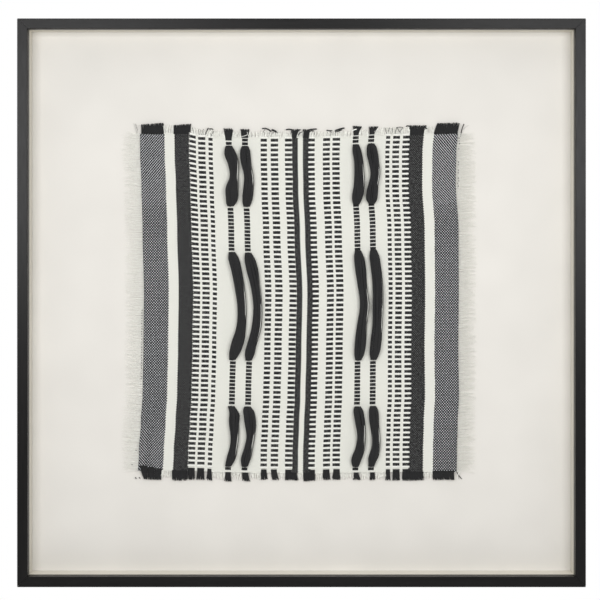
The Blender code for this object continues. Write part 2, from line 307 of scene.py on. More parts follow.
def weave_sheet():
    """The sheet's mesh, front and back, closed round its edges, with its loom places as its UV map."""
    columns = round((CLOTH_RIGHT - CLOTH_LEFT) / FACET)
    rows = round((CLOTH_TOP - CLOTH_BOTTOM) / FACET)
    x, z = np.meshgrid(
        np.linspace(CLOTH_LEFT, CLOTH_RIGHT, columns + 1), np.linspace(CLOTH_BOTTOM, CLOTH_TOP, rows + 1)
    )
    x, z = x.ravel(), z.ravel()
    points = np.concatenate([hung(x, z), hung(x, z, CLOTH_THICK - pucker(x, z))])
    corner = (np.arange(rows)[:, None] * (columns + 1) + np.arange(columns)).ravel()
    back = np.stack([corner, corner + columns + 1, corner + columns + 2, corner + 1], axis=1)
    layer = (columns + 1) * (rows + 1)
    grid = np.arange(layer).reshape(rows + 1, columns + 1)
    rim = np.concatenate([grid[0, :-1], grid[:-1, -1], grid[-1, :0:-1], grid[:0:-1, 0]])
    after = np.roll(rim, -1)
    edge = np.stack([rim, after, after + layer, rim + layer], axis=1)
    faces = np.concatenate([back, back[:, ::-1] + layer, edge])
    mesh = bpy.data.meshes.new("woven_cloth")
    mesh.from_pydata(points.tolist(), [], faces.tolist())
    loom = mesh.uv_layers.new(name="loom")
    corners = np.empty(len(mesh.loops), np.int32)
    mesh.loops.foreach_get("vertex_index", corners)
    places = np.tile(np.stack([x, z], axis=1), (2, 1))[corners]
    loom.data.foreach_set("uv", places.astype(np.float32).ravel())
    mesh.shade_smooth()
    mesh.set_sharp_from_angle(angle=math.radians(50))
    return mesh


COTTON_WHITE, COTTON_SHADE = "e9e9e1", "dcdcd3"
COTTON_BLACK, COTTON_FADED = "3c3c3c", "656565"
THREAD_RELIEF = 0.00035
WANDER, WANDER_SCALE = 0.00010, 140.0
LINT_SCALE = 1800.0
STREAK_WIDTH, STREAK_LENGTH = 0.0030, 0.0022
TOOTH_OUT = 0.00035
# Painted shade: how much darker the black stripes are drawn where the warp dips under the weft.
BLACK_DIP_SHADE = 0.80
BLACK_STREAK = 0.80
# Painted shade: how far the weave's colour darkens in the hollows between thread crowns, in white and in
# black.
WHITE_HOLLOW_SHADE, BLACK_HOLLOW_SHADE = 0.07, 0.62

# Its white dots are where two slanting waves sum high. The leans say which wave leads at each share of the
# cloth's height: at SQUARE neither does, and lighter or darker the dots run into lines that slant one way or
# the other, as towards the cloth's corners.
CHECK_COARSE = 1.16
CHECK_BLACK = 0.55
DOT_RIM, DOT_HEART = 0.54, 0.66
DOT_WHITE = "f8fbff"
LEAN_THINS = 0.32
CHEVRON_X, CHEVRON_REACH = -0.2085, 0.004
SQUARE = "bcbcbc"
LEAN_FAR_LEFT = ((0.00, "6a6a6a"), (0.12, "6a6a6a"), (0.24, SQUARE), (0.68, SQUARE), (0.80, "efefef"))
LEAN_LEFT = ((0.00, "ededed"), (0.12, "ededed"), (0.24, SQUARE), (0.68, SQUARE), (0.80, "efefef"))
LEAN_RIGHT = ((0.00, "cccccc"), (0.24, SQUARE), (0.66, SQUARE), (0.80, "626262"))

STRIPES = (
    # left edge in loom x, and what is woven from there on: white, mixed or black
    (CLOTH_LEFT, "808080"),
    (-0.1885, "ffffff"),
    (-0.1758, "000000"),
    (-0.1540, "ffffff"),
    (-0.0140, "000000"),
    (-0.0060, "ffffff"),
    (0.0018, "000000"),
    (0.0109, "ffffff"),
    (0.1460, "000000"),
    (0.1662, "ffffff"),
    (0.1796, "808080"),
)


def striped_weave(name):
    """Plain-woven cotton. Each thread's crown shows in turn, so where black crosses white it is chequered."""
    material, tree, shader = start_finish(name, IOR=1.5, Roughness=0.92, Specular_IOR_Level=0.3)
    shader.inputs["Sheen Weight"].default_value = 0.05

    loom = add(tree, "UVMap", uv_map="loom")
    drift = add(tree, "TexNoise", sockets={"Vector": loom, "Scale": WANDER_SCALE, "Detail": 2.0})
    shift = add(tree, "VectorMath SUBTRACT", drift.outputs["Color"], (0.5, 0.5, 0.5))
    moved = add(tree, "VectorMath MULTIPLY_ADD", shift, (WANDER * 4, WANDER * 4, 0.0), loom)
    place = add(tree, "SeparateXYZ", moved)
    warp = add(tree, "Math DIVIDE", place.outputs["X"], WARP_PITCH)
    pick = add(tree, "Math DIVIDE", place.outputs["Y"], PICK_PITCH)
    warp_number = add(tree, "Math FLOOR", warp)
    pick_number = add(tree, "Math FLOOR", pick)
    both = add(tree, "Math ADD", warp_number, pick_number)
    weft_up = add(tree, "Math FLOORED_MODULO", both, 2.0)

    arches = []
    for thread in (warp, pick):
        wave = add(tree, "Math MULTIPLY", thread, math.pi)
        wave = add(tree, "Math SINE", wave)
        arches.append(add(tree, "Math ABSOLUTE", wave))
    warp_arch, pick_arch = arches

    slants = []
    for meeting, way in (("ADD", 1.0), ("SUBTRACT", -1.0)):
        wave = add(tree, "Math", warp, pick, operation=meeting)
        wave = add(tree, "Math MULTIPLY", wave, math.pi / CHECK_COARSE)
        wave = add(tree, "Math COSINE", wave)
        slants.append(add(tree, "Math MULTIPLY", wave, way))
    falling, rising = slants
    up = add(tree, "MapRange", place.outputs["Y"], CLOTH_BOTTOM, CLOTH_TOP, 0.0, 1.0)
    nearest, farthest = CHEVRON_X - CHEVRON_REACH, CHEVRON_X + CHEVRON_REACH
    across = add(tree, "MapRange", place.outputs["X"], nearest, farthest, 0.0, 1.0)
    leans = [add(tree, "ValToRGB", up, stops=stops) for stops in (LEAN_FAR_LEFT, LEAN_LEFT, LEAN_RIGHT)]
    lean = add(tree, "Mix", across, sockets={2: leans[0], 3: leans[1]}, data_type="FLOAT")
    on_right = add(tree, "Math GREATER_THAN", place.outputs["X"], 0.0)
    lean = add(tree, "Mix", on_right, sockets={2: lean, 3: leans[2]}, data_type="FLOAT")
    check = add(tree, "Mix", lean, sockets={2: falling, 3: rising}, data_type="FLOAT")
    tilt = add(tree, "Math SUBTRACT", lean, 0.5)
    tilt = add(tree, "Math ABSOLUTE", tilt)
    check = add(tree, "Math MULTIPLY_ADD", tilt, -LEAN_THINS, check)
    dot = add(tree, "MapRange", check, DOT_RIM, DOT_HEART, 0.0, 1.0)
    girth = add(tree, "Mix", weft_up, sockets={2: warp_arch, 3: pick_arch}, data_type="FLOAT")
    length = add(tree, "Mix", weft_up, sockets={2: pick_arch, 3: warp_arch}, data_type="FLOAT")
    girth = add(tree, "Math POWER", girth, 0.6)
    length = add(tree, "Math MULTIPLY_ADD", length, 0.35, 0.65)
    crown = add(tree, "Math MULTIPLY", girth, length)

    side = add(tree, "Math FLOORED_MODULO", pick_number, 2.0)
    tooth = add(tree, "Math MULTIPLY_ADD", side, TOOTH_OUT * 2, place.outputs["X"])
    chart_place = add(tree, "MapRange", tooth, CLOTH_LEFT, CLOTH_RIGHT, 0.0, 1.0)
    width = CLOTH_RIGHT - CLOTH_LEFT
    stops = [((left - CLOTH_LEFT) / width, code) for left, code in STRIPES]
    chart = add(tree, "ValToRGB", chart_place, stops=stops)
    chart.color_ramp.interpolation = "CONSTANT"
    is_black = add(tree, "Math LESS_THAN", chart, 0.1)
    is_white = add(tree, "Math GREATER_THAN", chart, 0.9)
    shows_white = add(tree, "Math MAXIMUM", dot, is_white)
    undyed = add(tree, "Math SUBTRACT", shows_white, is_black, use_clamp=True)

    lint = add(tree, "TexNoise", sockets={"Vector": loom, "Scale": LINT_SCALE, "Detail": 3.0})
    white = add(tree, "ValToRGB", lint, stops=((0.3, COTTON_SHADE), (0.6, COTTON_WHITE)))
    black = add(tree, "ValToRGB", lint, stops=((0.35, COTTON_BLACK), (0.75, COTTON_FADED)))
    colour = add(tree, "Mix", undyed, sockets={6: black, 7: white}, data_type="RGBA")
    bleached = add(tree, "Mix", dot, sockets={6: black, 7: linear(DOT_WHITE)}, data_type="RGBA")
    is_plain = add(tree, "Math ADD", is_white, is_black)
    either = {6: bleached.outputs[2], 7: colour.outputs[2]}
    colour = add(tree, "Mix", is_plain, sockets=either, data_type="RGBA")
    is_mixed = add(tree, "Math SUBTRACT", 1.0, is_plain)
    ground = add(tree, "Math SUBTRACT", 1.0, dot)
    ground = add(tree, "Math MULTIPLY", ground, is_mixed)
    ground = add(tree, "Math MULTIPLY_ADD", ground, -CHECK_BLACK, 1.0)
    # Painted shade in the hollows between crowns, much deeper in black than in white; the streaks and the
    # grey bands' darker ground are multiplied in with it.
    hollow_shade_strength = add(tree, "MapRange", undyed, 0.0, 1.0, BLACK_HOLLOW_SHADE, WHITE_HOLLOW_SHADE)
    depth = add(tree, "Math SUBTRACT", 1.0, crown)
    painted_hollow_shade = add(tree, "Math MULTIPLY", depth, hollow_shade_strength)
    painted_shade_and_tone = add(tree, "Math SUBTRACT", 1.0, painted_hollow_shade)
    dyed = add(tree, "Math SUBTRACT", 1.0, undyed)
    # Painted shade: in the black stripes, the cells where the warp dips under are drawn much darker.
    warp_dip_shade = add(tree, "Math MULTIPLY", is_black, weft_up)
    warp_dip_shade = add(tree, "Math MULTIPLY_ADD", warp_dip_shade, -BLACK_DIP_SHADE, 1.0)
    drawn = add(tree, "VectorMath MULTIPLY", loom, (1 / STREAK_WIDTH, 1 / STREAK_LENGTH, 1.0))
    streak = add(tree, "TexNoise", sockets={"Vector": drawn, "Scale": 1.0, "Detail": 2.0})
    streak = add(tree, "MapRange", streak, 0.3, 0.7, -BLACK_STREAK, BLACK_STREAK)
    streak = add(tree, "Math MULTIPLY_ADD", streak, dyed, 1.0)
    painted_shade_and_tone = add(tree, "Math MULTIPLY", painted_shade_and_tone, warp_dip_shade)
    painted_shade_and_tone = add(tree, "Math MULTIPLY", painted_shade_and_tone, streak)
    painted_shade_and_tone = add(tree, "Math MULTIPLY", painted_shade_and_tone, ground)
    shaded = add(tree, "VectorMath SCALE", colour.outputs[2], sockets={"Scale": painted_shade_and_tone})
    height = add(tree, "Math MULTIPLY_ADD", lint, 0.25, crown)
    relief = add(tree, "Bump", sockets={"Height": height, "Distance": THREAD_RELIEF, "Strength": 0.8})
    tree.links.new(shaded.outputs[0], shader.inputs["Base Color"])
    tree.links.new(relief.outputs[0], shader.inputs["Normal"])
    return material


cloth = make_piece("woven_cloth", weave_sheet())
cloth.data.materials.append(striped_weave("plain-woven cotton, striped"))
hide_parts("cloth")


# Dashes and the white picks between them. In twelve narrow columns the black warp floats over about two
# picks and a half, then dives under the rest, so each row shows a dash of four to seven threads side by side.

ROW_TOP = 0.2256
ROWS = 68
DASH_HEIGHT = 0.0041
DASH_RAISED = 0.0009
DASH_SIDES, DASH_UNEVEN = 6, 0.05
PICK_PAST = 0.0006
DASH_COLUMNS = (
    # left and right edge in loom x
    (-0.1540, -0.1450),
    (-0.1419, -0.1319),
    (-0.1277, -0.1219),
    (-0.0560, -0.0473),
    (-0.0421, -0.0320),
    (-0.0226, -0.0134),
    (0.0103, 0.0182),
    (0.0294, 0.0390),
    (0.0424, 0.0525),
    (0.1154, 0.1210),
    (0.1249, 0.1342),
    (0.1383, 0.1469),
)
BOUND_WIDTH = 0.0080
BOUND_HEIGHT = 0.0044
BOUND_PITCH = 3 * PICK_PITCH
BOUND_RUNS = (
    # columns, highest row's loom z, rows, how far right of the column
    ("a", 0.2205, 1, 0.0),
    ("b", 0.2255, 2, 0.0),
    ("cd", 0.2271, 2, 0.0),
    ("ab", 0.1297, 12, 0.0),
    ("cd", 0.1347, 13, 0.0),
    ("ab", -0.0813, 12, 0.0010),
    ("cd", -0.0813, 12, -0.0005),
    ("abcd", -0.2262, 1, 0.0),
)


def start_tree(name, inputs):
    """A new node tree for shapes with its named inputs, a mesh in and a mesh out."""
    tree = bpy.data.node_groups.new(name, "GeometryNodeTree")
    tree.interface.new_socket("Geometry", in_out="INPUT", socket_type="NodeSocketGeometry")
    for label, kind in inputs:
        tree.interface.new_socket(label, in_out="INPUT", socket_type="NodeSocket" + kind)
    tree.interface.new_socket("Geometry", in_out="OUTPUT", socket_type="NodeSocketGeometry")
    return tree, add(tree, "NodeGroupInput").outputs


def end_tree(tree, shape, given):
    """Realizes what a tree made, gives it its material and sends it out."""
    whole = add(tree, "GeometryNodeRealizeInstances", shape)
    smooth = add(tree, "GeometryNodeSetShadeSmooth", whole)
    dressed = add(tree, "GeometryNodeSetMaterial", smooth, sockets={"Material": given["Material"]})
    add(tree, "NodeGroupOutput", dressed)


def floats_tree():
    """Puts one short raised thread at each point, turned and sized by the point's own values."""
    inputs = (("Sides", "Int"), ("Unevenness", "Float"), ("Seed", "Int"), ("Material", "Material"))
    tree, given = start_tree("raised threads", inputs)
    size_one = {"Radius": 0.5, "Depth": 1.0}
    rod = add(tree, "GeometryNodeMeshCylinder", given["Sides"], 3, sockets=size_one, fill_type="NGON")
    place = add(tree, "GeometryNodeInputPosition")
    along = add(tree, "SeparateXYZ", place)
    half = add(tree, "Math MULTIPLY", along.outputs["Z"], 2.0)
    reach = add(tree, "Math ABSOLUTE", half)
    blunt = add(tree, "Math POWER", reach, 0.3)
    way = add(tree, "Math SIGN", half)
    spread = add(tree, "Math MULTIPLY", blunt, way)
    spread = add(tree, "Math MULTIPLY", spread, 0.5)
    taper = add(tree, "Math POWER", reach, 6.0)
    taper = add(tree, "Math MULTIPLY_ADD", taper, -0.45, 1.0)
    wide = add(tree, "Math MULTIPLY", along.outputs["X"], taper)
    deep = add(tree, "Math MULTIPLY", along.outputs["Y"], taper)
    moved = add(tree, "CombineXYZ", wide, deep, spread)
    thread = add(tree, "GeometryNodeSetPosition", rod, sockets={"Position": moved})
    turn = add(tree, "GeometryNodeInputNamedAttribute", "turn", data_type="FLOAT_VECTOR")
    size = add(tree, "GeometryNodeInputNamedAttribute", "size", data_type="FLOAT_VECTOR")
    turned = add(tree, "FunctionNodeEulerToRotation", turn)
    least = add(tree, "Math SUBTRACT", 1.0, given["Unevenness"])
    most = add(tree, "Math ADD", 1.0, given["Unevenness"])
    range_of = {2: least, 3: most, "Seed": given["Seed"]}
    uneven = add(tree, "FunctionNodeRandomValue", sockets=range_of, data_type="FLOAT")
    sized = add(tree, "VectorMath SCALE", size, sockets={"Scale": uneven.outputs[1]})
    copies = add(
        tree,
        "GeometryNodeInstanceOnPoints",
        sockets={"Points": given["Geometry"], "Instance": thread, "Rotation": turned, "Scale": sized},
    )
    end_tree(tree, copies, given)
    return tree


def grow(name, points, edges, values, tree, slot, **inputs):
    """Runs a tree on points and edges that carry values, and keeps the result as a plain mesh piece."""
    mesh = bpy.data.meshes.new(name)
    mesh.from_pydata(np.asarray(points).tolist(), edges, [])
    for label, numbers in values.items():
        numbers = np.asarray(numbers, np.float32)
        kind, key = ("FLOAT_VECTOR", "vector") if numbers.ndim == 2 else ("FLOAT", "value")
        mesh.attributes.new(label, kind, "POINT").data.foreach_set(key, numbers.ravel())
    source = bpy.data.objects.new(name + "_source", mesh)
    modifier = source.modifiers.new(tree.name, "NODES")
    modifier.node_group = tree
    for socket in tree.interface.items_tree:
        if socket.in_out == "INPUT" and socket.name in inputs:
            modifier[socket.identifier] = inputs[socket.name]
    bpy.context.scene.collection.objects.link(source)
    graph = bpy.context.evaluated_depsgraph_get()
    made = bpy.data.meshes.new_from_object(source.evaluated_get(graph), depsgraph=graph)
    bpy.data.objects.remove(source)
    bpy.data.meshes.remove(mesh)
    made.name = name
    return make_piece(name, made)


# Loose yarn is lighter where it is white and darker where it is black than the weave, whose colour carries
# painted shade. A white pick between dashes is given a little of the black: painted shade between the raised
# dashes.
YARN_BLACK, YARN_FADED = "1f1f20", "303031"
LOOSE_WHITE, LOOSE_SHADE = "fbfbf5", "f0f0e8"
PICK_PAINTED_SHADE = 0.12


def cotton_yarn(name):
    """Spun cotton, matt and a little hairy. The dye value says how black the thread is drawn: 0 white, 1
    black; on the picks between dashes it also carries painted shade, and on the pale slack threads of the
    bundles a painted highlight.
    """
    material, tree, shader = start_finish(name, IOR=1.5, Roughness=0.85, Specular_IOR_Level=0.3)
    shader.inputs["Sheen Weight"].default_value = 0.05
    dye = add(tree, "Attribute", attribute_name="dye")
    place = add(tree, "TexCoord").outputs["Object"]
    lint = add(tree, "TexNoise", sockets={"Vector": place, "Scale": 1500.0, "Detail": 3.0})
    white = add(tree, "ValToRGB", lint, stops=((0.3, LOOSE_SHADE), (0.6, LOOSE_WHITE)))
    black = add(tree, "ValToRGB", lint, stops=((0.35, YARN_BLACK), (0.75, YARN_FADED)))
    colour = add(tree, "Mix", dye.outputs["Fac"], sockets={6: white, 7: black}, data_type="RGBA")
    relief = add(tree, "Bump", sockets={"Height": lint, "Distance": 0.0001, "Strength": 0.7})
    tree.links.new(colour.outputs[2], shader.inputs["Base Color"])
    tree.links.new(relief.outputs[0], shader.inputs["Normal"])
    return material


def lay_floats(x, z, along, wide, deep, upright, dye):
    """Points, turns and sizes of raised threads centred on loom places, lying along the warp or the weft."""
    step = 0.001
    middle = hung(x, z, CLOTH_THICK)
    if upright:
        ahead = hung(x, np.asarray(z) + step, CLOTH_THICK)
    else:
        ahead = hung(np.asarray(x) + step, z, CLOTH_THICK)
    way = ahead - middle
    turn = np.zeros_like(middle)
    turn[:, 1] = np.arctan2(way[:, 0], way[:, 2])
    size = np.tile((wide, deep, along), (len(middle), 1))
    return middle, turn, size, np.full(len(middle), dye)


def dash_threads(left, right, top, pitch, count, height):
    """The black floats and the white picks of one column of dashes, as lists for lay_floats."""
    threads = max(1, round((right - left) / WARP_PITCH))
    columns = left + (right - left) * (np.arange(threads) + 0.5) / threads
    heights = top - pitch * np.arange(count)
    x, z = (grid.ravel() for grid in np.meshgrid(columns, heights))
    width = (right - left) / threads * 0.98
    black = lay_floats(x, z, height, width, DASH_RAISED, True, 1.0)
    gaps = np.append(heights, heights[-1] - pitch) + pitch / 2
    middle = np.full(gaps.shape, (left + right) / 2)
    gap = pitch - height + PICK_PAST
    across = right - left + 0.0016
    # The white picks carry a little painted shade from the dashes beside them.
    white = lay_floats(middle, gaps, across, gap, DASH_RAISED * 0.8, False, PICK_PAINTED_SHADE)
    return [black, white]


def gather(parts):
    """Joins the lists of several calls to lay_floats."""
    points, turns, sizes, dyes = (np.concatenate(group) for group in zip(*parts))
    return points, {"turn": turns, "size": sizes, "dye": dyes}


raised_threads = floats_tree()
yarn = cotton_yarn("spun cotton yarn")
free, bound = [], []
for left, right in DASH_COLUMNS:
    free.append(dash_threads(left, right, ROW_TOP, ROW_PITCH, ROWS, DASH_HEIGHT))
for letters, top, count, shift in BOUND_RUNS:
    for letter in letters:
        left = COLUMN_X[letter] + shift - BOUND_WIDTH / 2
        bound.append(dash_threads(left, left + BOUND_WIDTH, top, BOUND_PITCH, count, BOUND_HEIGHT))
for name, columns, seed in (
    ("dashes_left", free[:6], 4),
    ("dashes_right", free[6:], 4),
    ("bound_dashes", bound, 5),
):
    points, values = gather(sum(columns, []))
    settings = {"Sides": DASH_SIDES, "Unevenness": DASH_UNEVEN, "Seed": seed, "Material": yarn}
    grow(name, points, [], values, raised_threads, "black_yarn", **settings)


# Bundles. In four narrow columns the black warp leaves the weave three times and hangs over it as a slack
# bundle, bound flat at both ends, that has slid and bowed to one side. Each is a sheaf of spun threads.

BUNDLE_FLATNESS = 0.74
BUNDLE_CLEAR = 0.0006
BUNDLE_STATIONS = 40
SKIN_THREADS = 40
LAYERS = (
    # threads, how many of their radii they lie inside the skin, girth
    (SKIN_THREADS, 1.0, 0.66),
    (9, 2.6, 2.6),
)
SLACK_RADIUS, SLACK_SINKS = 0.00042, 0.0024
SLACK_THREADS = (
    # side, how far inside the edge, dye; a dye below 1 on these black warp threads is a painted highlight
    (1, 0.0013, 0.25),
    (1, -0.0002, 1.00),
    (-1, 0.0010, 0.80),
)
END_WIDTH = 8.0
OFFSET_AT = (0.0, 0.10, 0.30, 0.50, 0.70, 0.90, 1.0)
WIDTH_AT = (0.0, 0.05, 0.15, 0.30, 0.50, 0.70, 0.85, 0.95, 1.0)
BUNDLES = (
    # column, place, top and bottom, then in millimetres its offsets and its widths on the way down
    ("a", "top", 0.2170, 0.1340, (1.4, 5.7, 5.9, 3.1, 2.3), (11.8, 16.2, 13.8, 11.0, 17.2, 16.7, 12.9)),
    ("b", "top", 0.2170, 0.1340, (0.1, 1.3, 4.1, 3.4, 1.4), (11.8, 13.7, 13.3, 12.2, 13.7, 13.8, 10.9)),
    ("c", "top", 0.2177, 0.1359, (1.8, 4.5, 4.9, 4.8, 1.7), (10.2, 12.2, 12.4, 13.1, 14.6, 14.8, 11.5)),
    ("d", "top", 0.2177, 0.1359, (1.1, 3.5, 5.9, 3.0, 0.5), (12.1, 15.0, 14.1, 12.6, 13.8, 15.7, 13.5)),
    ("a", "middle", 0.0710, -0.0770, (3.5, 8.4, 11.9, 11.5, 4.7), (13.4, 14.0, 13.2, 11.6, 12.7, 16.6, 13.0)),
    ("b", "middle", 0.0710, -0.0770, (3.2, 7.8, 11.3, 10.0, 2.6), (13.0, 15.5, 12.4, 11.5, 12.8, 12.7, 12.2)),
    ("c", "middle", 0.0730, -0.0770, (1.8, 4.0, 7.0, 4.0, 2.0), (12.7, 14.7, 12.5, 12.1, 13.1, 15.0, 12.8)),
    ("d", "middle", 0.0730, -0.0770, (1.6, 4.2, 4.4, 4.4, 2.0), (12.6, 13.7, 13.6, 14.4, 13.7, 14.9, 12.8)),
    ("a", "bottom", -0.1403, -0.2225, (4.6, 5.6, 6.9, 6.3, 2.7), (10.0, 13.7, 13.2, 10.3, 9.9, 11.8, 10.0)),
    ("b", "bottom", -0.1403, -0.2225, (2.9, 5.8, 6.3, 4.2, 0.8), (12.9, 15.4, 14.8, 10.6, 11.3, 13.1, 10.2)),
    ("c", "bottom", -0.1403, -0.2225, (2.0, 4.9, 6.5, 5.4, 0.4), (12.0, 13.7, 13.3, 10.9, 12.2, 14.0, 11.1)),
    ("d", "bottom", -0.1403, -0.2225, (1.4, 3.0, 5.2, 5.4, 1.5), (11.3, 13.2, 12.4, 11.0, 11.3, 12.9, 9.3)),
)


def flowing(places, values, at):
    """Reads a smooth curve through values at rising places, with no flat spots on the way."""
    places, values = np.asarray(places), np.asarray(values)
    slopes = np.gradient(values, places)
    index = np.clip(np.searchsorted(places, at, side="right") - 1, 0, len(places) - 2)
    span = places[index + 1] - places[index]
    share = (at - places[index]) / span
    rest = 1.0 - share
    low, high = values[index], values[index + 1]
    level = low * (1.0 + 2.0 * share) * rest * rest + high * share * share * (3.0 - 2.0 * share)
    return level + span * share * rest * (slopes[index] * rest - slopes[index + 1] * share)


def threads_tree():
    """Spins each line of edges into a round thread of the radius that its points carry."""
    tree, given = start_tree("spun threads", (("Sides", "Int"), ("Material", "Material")))
    line = add(tree, "GeometryNodeMeshToCurve", given["Geometry"])
    radius = add(tree, "GeometryNodeInputNamedAttribute", "radius", data_type="FLOAT")
    thick = add(tree, "GeometryNodeSetCurveRadius", line, sockets={"Radius": radius})
    round_one = {"Resolution": given["Sides"], "Radius": 1.0}
    ring = add(tree, "GeometryNodeCurvePrimitiveCircle", sockets=round_one)
    closed = {"Profile Curve": ring.outputs[0], "Fill Caps": True}
    tube = add(tree, "GeometryNodeCurveToMesh", thick, sockets=closed)
    if "Scale" in tube.inputs:
        tree.links.new(radius.outputs[0], tube.inputs["Scale"])
    end_tree(tree, tube, given)
    return tree


def spin(name, lines, slot, sides):
    """Makes threads from (points, radii, dye) lines as one piece."""
    points, edges, radii, dyes = [], [], [], []
    for line, radius, dye in lines:
        first = len(points)
        points += list(line)
        edges += [(place, place + 1) for place in range(first, len(points) - 1)]
        radii += list(np.broadcast_to(radius, len(line)))
        dyes += [dye] * len(line)
    values = {"radius": radii, "dye": dyes}
    return grow(name, points, edges, values, spun_threads, slot, Sides=sides, Material=yarn)


def bundle_lines(column, top, bottom, offsets, widths, chance):
    """The threads of one bundle, as lines with their radii and dye: a skin of threads over a few fat ones
    inside, and three slack ones that stand off its edges half way down, the first of them pale and the last
    grey, painted highlights on threads of the black warp."""
    share = 0.5 - 0.5 * np.cos(np.pi * np.linspace(0, 1, BUNDLE_STATIONS))
    offset = flowing(OFFSET_AT, (0.0, *offsets, 0.0), share) * 0.001
    width = flowing(WIDTH_AT, (END_WIDTH, *widths, END_WIDTH), share) * 0.001
    half_wide, half_deep = width / 2, width / 2 * BUNDLE_FLATNESS
    spine = hung(COLUMN_X[column] + offset, top + (bottom - top) * share, CLOTH_THICK + BUNDLE_CLEAR)
    lines = []
    for count, inward, girth in LAYERS:
        twist = chance.uniform(-0.4, 0.4)
        for number in range(count):
            angle = 2 * math.pi * (number + chance.uniform(-0.25, 0.25)) / count
            wave = chance.uniform(-0.10, 0.10)
            angle = angle + twist * (share - 0.5) + wave * np.sin(np.pi * share * chance.choice((1, 2, 3)))
            radius = np.pi * (half_wide + half_deep) / SKIN_THREADS * girth
            inside = radius * inward
            across = (half_wide - inside) * np.sin(angle)
            out = half_deep - (half_deep - inside) * np.cos(angle)
            aside = np.stack([across, -out, np.zeros_like(across)], axis=1)
            lines.append((spine + aside, radius, 1.0))
    for side, inset, dye in SLACK_THREADS:
        middle, reach = chance.uniform(0.35, 0.65), chance.uniform(0.16, 0.26)
        slack = np.exp(-(((share - middle) / reach) ** 2))
        across = half_wide - inset + slack * chance.uniform(0.0003, 0.0010)
        over = half_deep * (1.0 + np.sqrt(1.0 - np.clip(across / half_wide, 0.0, 1.0) ** 2)) + 0.0002
        out = over - (1.0 - slack) * SLACK_SINKS
        aside = np.stack([side * across, -out, np.zeros_like(across)], axis=1)
        lines.append((spine + aside, SLACK_RADIUS, dye))
    return lines


spun_threads = threads_tree()
chance = random.Random(12)
for column, place, top, bottom, offsets, widths in BUNDLES:
    name = "bundle_" + column + "_" + place
    piece = spin("loose_" + name, bundle_lines(column, top, bottom, offsets, widths, chance), "black_yarn", 5)
    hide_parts(name)


# Frayed ends. Beyond the last pick the warp stands loose: black where the stripes are black, white between.
# At the two sides the white weft runs out in a thin fuzz, and here and there a single thread has strayed.

BLACK_END_PITCH, BLACK_END_RADIUS = 0.0007, 0.00062
WHITE_END_PITCH, WHITE_END_RADIUS = 0.00075, 0.00036
WHITE_INSIDE = 0.0006
WEFT_END_RADIUS = 0.00015
WEFT_ENDS_PER_PICK = 4
WEFT_TIPS = (
    # height, and where the weft ends reach to on the left and on the right, once hung
    (-0.235, -0.2450, 0.2370),
    (-0.190, -0.2465, 0.2380),
    (-0.130, -0.2420, 0.2385),
    (0.000, -0.2412, 0.2388),
    (0.130, -0.2420, 0.2392),
    (0.200, -0.2460, 0.2385),
    (0.232, -0.2465, 0.2375),
)
TOP_ENDS = (
    # dye, then in millimetres: left and right edge in loom x, length at left and right, and for black how far
    # inside the cloth it starts and where its tips' left and right edges are
    (1, -220, -188.9, 12.5, 14.6, 0.6, -220, -188.9),
    (0, -188.9, -175.8, 12, 12.5),
    (1, -175.8, -152.8, 11.5, 13.4, 0.6, -175.6, -151.2),
    (0, -152, -104.5, 10, 8.5),
    (1, -104.3, -95.7, 12.2, 12.2, 4.5, -107.2, -93.4),
    (0, -95.5, -82.5, 8.5, 8.5),
    (1, -82.2, -72.8, 11.6, 11.6, 0.6, -84.3, -70.8),
    (0, -72.8, -13.4, 8.5, 8.5),
    (1, -13.4, -6.8, 11.2, 11.8, 0.6, -14.5, -3),
    (0, -6.6, 1.5, 9, 9),
    (1, 1.5, 10.3, 11.6, 11.2, 0.6, 2, 12),
    (0, 10.5, 70, 8.5, 9),
    (1, 70.8, 77, 14.6, 13, -1.2, 69.8, 82.5),
    (0, 77.6, 91.3, 10, 10),
    (1, 92.5, 99, 12.4, 11.8, -1.2, 91.2, 104),
    (0, 99.5, 146.9, 10, 11),
    (1, 146.5, 166.2, 12.6, 11.8, 0.6, 145.6, 170.4),
    (0, 166.2, 179.6, 12, 12),
    (1, 180, 212, 14, 14.2, 0.6, 183.5, 214.6),
)
